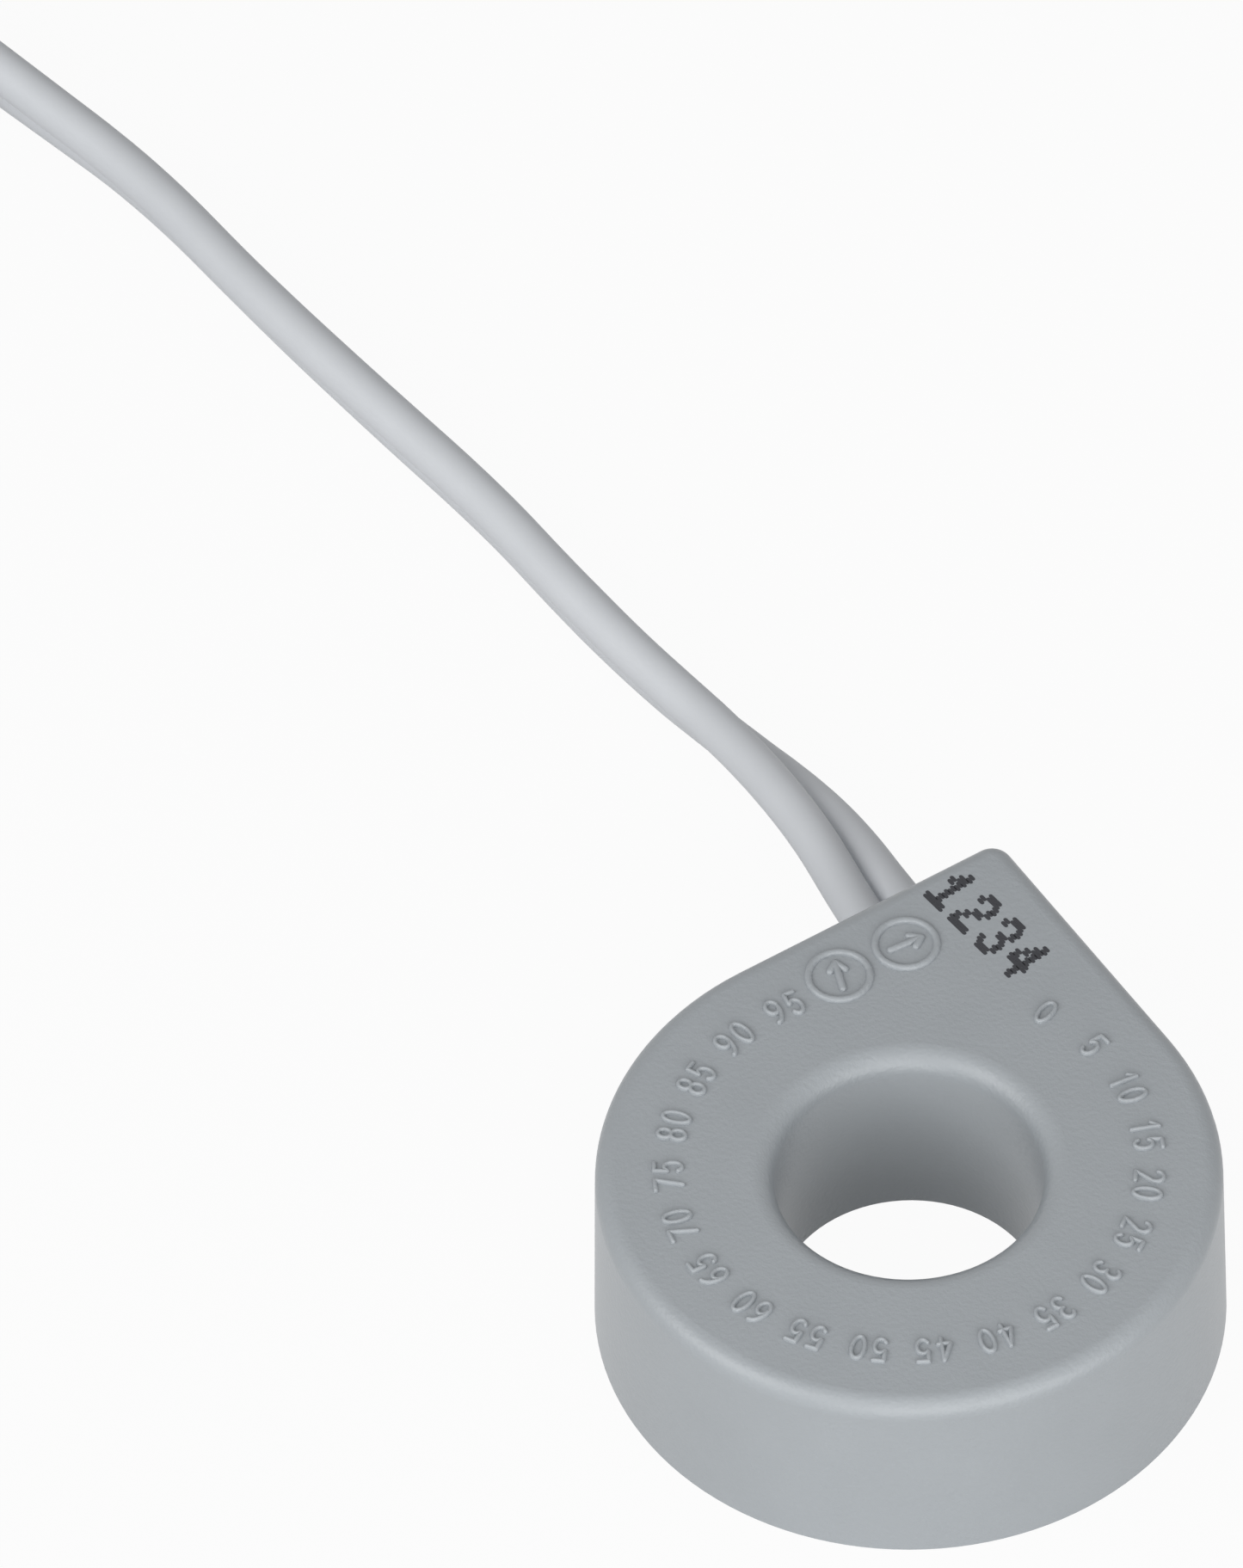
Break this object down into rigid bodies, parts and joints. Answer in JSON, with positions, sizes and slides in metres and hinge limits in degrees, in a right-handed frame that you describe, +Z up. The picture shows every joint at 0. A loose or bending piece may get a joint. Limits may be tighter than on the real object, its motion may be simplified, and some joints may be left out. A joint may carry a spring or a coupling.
{
  "type": "current transformer",
  "caption": "Ring-type current transformer: teardrop moulded case with a round bore for the primary conductor and a flat twin lead for its secondary.",
  "frame": {"origin": "on the bore's axis, level with the case's lower rim", "axes": "+Z up the bore, +Y towards the case's pointed corner, the lead leaves by the flat side between +Y and -X"},
  "size_m": [0.1605, 0.113, 0.0118],
  "materials": {
    "case_plastic": "satin moulded",
    "cover_plastic": "satin moulded",
    "lead_pvc": "soft satin",
    "core_strip": "bare wound strip",
    "box_nylon": "natural nylon",
    "copper_winding": "enamelled copper",
    "polyester_tape": "smooth film",
    "pressboard": "pressed board",
    "foam": "closed-cell foam",
    "tie_nylon": "natural nylon",
    "tinned_copper": "tinned strands",
    "crimp_brass": "plain barrel",
    "sleeve_film": "shrunk sleeve",
    "coil_tie_pvc": "satin"
  },
  "bodies": {
    "root": {"base_cover": "cover_plastic", "case_shell": "case_plastic", "coil_tie_1": "coil_tie_pvc", "coil_tie_2": "coil_tie_pvc", "conductor_1": "tinned_copper", "conductor_2": "tinned_copper", "core_box": "box_nylon", "core_box_lid": "box_nylon", "crimp_1": "crimp_brass", "crimp_2": "crimp_brass", "cushion_ring": "foam", "end_conductor_1": "tinned_copper", "end_conductor_2": "tinned_copper", "insulating_washer": "pressboard", "lead": "lead_pvc", "lead_coil": "lead_pvc", "lead_entry": "lead_pvc", "secondary_winding": "copper_winding", "sleeve_1": "sleeve_film", "sleeve_2": "sleeve_film", "strain_relief_tie": "tie_nylon", "strip_core": "core_strip", "winding_lead_1": "copper_winding", "winding_lead_2": "copper_winding", "winding_tape": "polyester_tape"}
  },
  "joints": []
}
